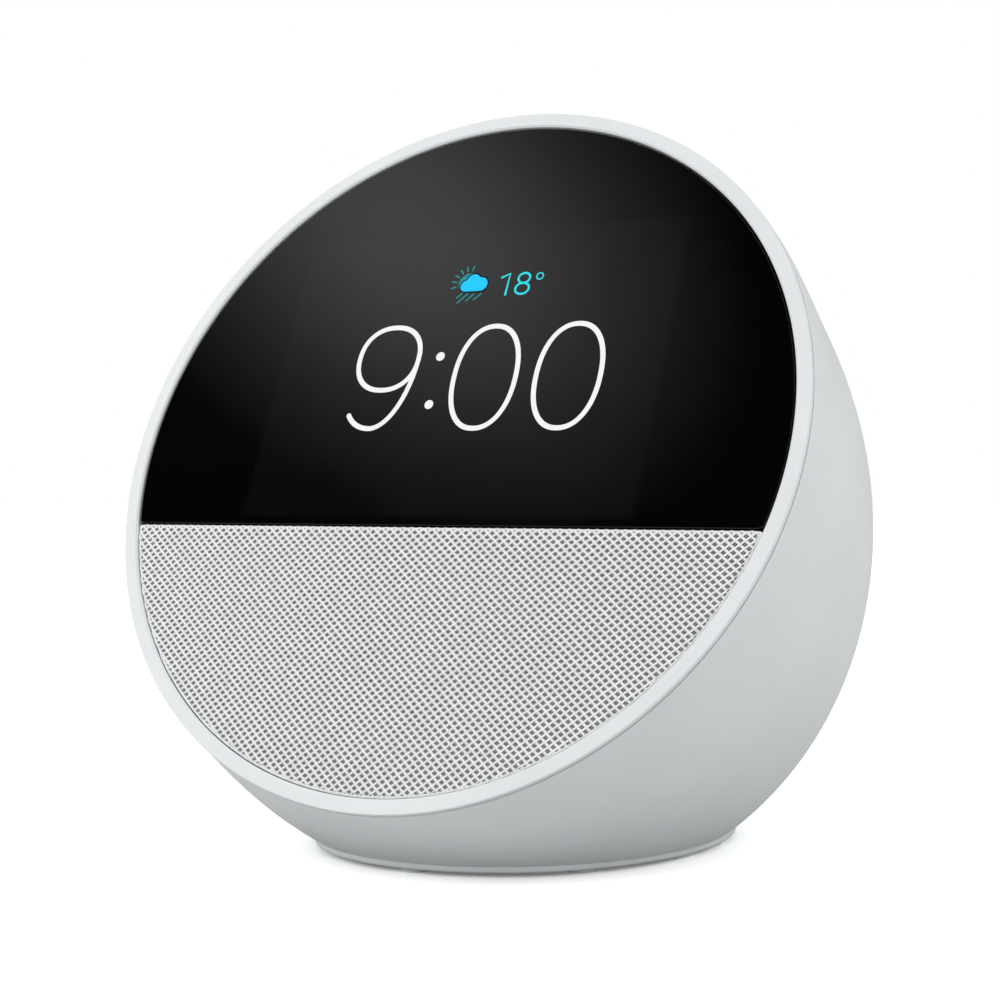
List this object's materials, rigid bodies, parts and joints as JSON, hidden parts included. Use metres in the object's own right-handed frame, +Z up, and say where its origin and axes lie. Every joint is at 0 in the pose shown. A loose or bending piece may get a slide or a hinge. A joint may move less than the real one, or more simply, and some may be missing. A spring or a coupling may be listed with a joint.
{
  "type": "smart display",
  "caption": "Bedside smart display: round leaning face, black glass over the screen, mesh-covered speaker below, domed body on a rounded base, push buttons on the upper back.",
  "frame": {"origin": "on the table, under the middle of the whole object's box", "axes": "+Z up, the face looks towards -Y and 24.4 degrees upwards, +X to the viewer's right"},
  "size_m": [0.1132, 0.1046, 0.1129],
  "materials": {
    "pale_plastic": "fine matt moulding",
    "cover_glass": "polished, printed black behind",
    "grille_cloth": "open knitted mesh",
    "dark_plastic": "plain moulding",
    "adhesive": "pressure-sensitive film",
    "clear_adhesive": "clear film",
    "display_glass": "polished",
    "backlight": "satin tray",
    "foam": "soft foam",
    "steel": "zinc plated",
    "rubber": "matt",
    "circuit_board": "solder mask",
    "connector": "plain moulding",
    "chip": "moulded package",
    "copper": "bare copper",
    "ribbon": "polyimide film",
    "lead": "smooth sleeve",
    "thermal_pad": "soft pad",
    "aluminium": "pressed sheet",
    "magnet": "sintered",
    "cone": "pressed paper",
    "surround": "thin rubber",
    "spider": "impregnated cloth"
  },
  "bodies": {
    "housing": {"front_ring": "pale_plastic", "cover_glass": "cover_glass", "grille_cloth": "grille_cloth", "grille_frame": "dark_plastic", "face_frame": "dark_plastic", "face_screws": "steel", "glass_adhesive": "adhesive", "optical_adhesive": "clear_adhesive", "display_panel": "display_glass", "display_backlight": "backlight", "display_foam": "foam", "display_bracket": "steel", "bracket_screws": "steel", "display_ribbon": "ribbon", "rear_shell": "pale_plastic", "base_plate": "pale_plastic", "base_screws": "steel", "foot_pads": "rubber", "speaker_gasket": "foam", "speaker_basket": "dark_plastic", "speaker_surround": "surround", "speaker_spider": "spider", "speaker_top_plate": "steel", "speaker_magnet": "magnet", "speaker_yoke": "steel", "speaker_enclosure": "dark_plastic", "enclosure_screws": "steel", "speaker_lead": "lead", "main_board": "circuit_board", "board_screws": "steel", "board_connectors": "connector", "processor": "chip", "processor_shield": "steel", "radio_module": "chip", "radio_shield": "steel", "thermal_pad": "thermal_pad", "heat_spreader": "aluminium", "button_switches": "chip", "button_board": "circuit_board", "button_carrier": "dark_plastic", "carrier_screws": "steel", "microphones": "steel", "microphone_boards": "circuit_board", "microphone_gaskets": "foam", "antennas": "copper", "power_jack": "chip", "power_jack_pin": "steel", "power_board": "circuit_board", "power_board_screws": "steel", "power_lead": "lead"},
    "volume_down": {"volume_down_button": "pale_plastic", "volume_down_actuator": "rubber"},
    "microphone_mute": {"microphone_mute_button": "pale_plastic", "microphone_mute_actuator": "rubber"},
    "volume_up": {"volume_up_button": "pale_plastic", "volume_up_actuator": "rubber"},
    "speaker_cone": {"speaker_cone": "cone", "speaker_dust_cap": "cone", "speaker_voice_coil": "copper"}
  },
  "joints": [
    {"name": "volume_down_press", "type": "slide", "parent": "housing", "child": "volume_down", "axis": [0.284, -0.55, -0.7854], "range_m": [0, 0.0005], "stiffness_N_per_m": 500, "springref_m": -0.0004},
    {"name": "microphone_mute_press", "type": "slide", "parent": "housing", "child": "microphone_mute", "axis": [0, -0.5736, -0.8192], "range_m": [0, 0.0005], "stiffness_N_per_m": 500, "springref_m": -0.0004},
    {"name": "volume_up_press", "type": "slide", "parent": "housing", "child": "volume_up", "axis": [-0.284, -0.55, -0.7854], "range_m": [0, 0.0005], "stiffness_N_per_m": 500, "springref_m": -0.0004},
    {"name": "speaker_cone_stroke", "type": "slide", "parent": "housing", "child": "speaker_cone", "axis": [0, -0.9107, 0.4131], "range_m": [-0.001, 0.001], "stiffness_N_per_m": 2400, "deforming": ["speaker_surround", "speaker_spider"]}
  ]
}
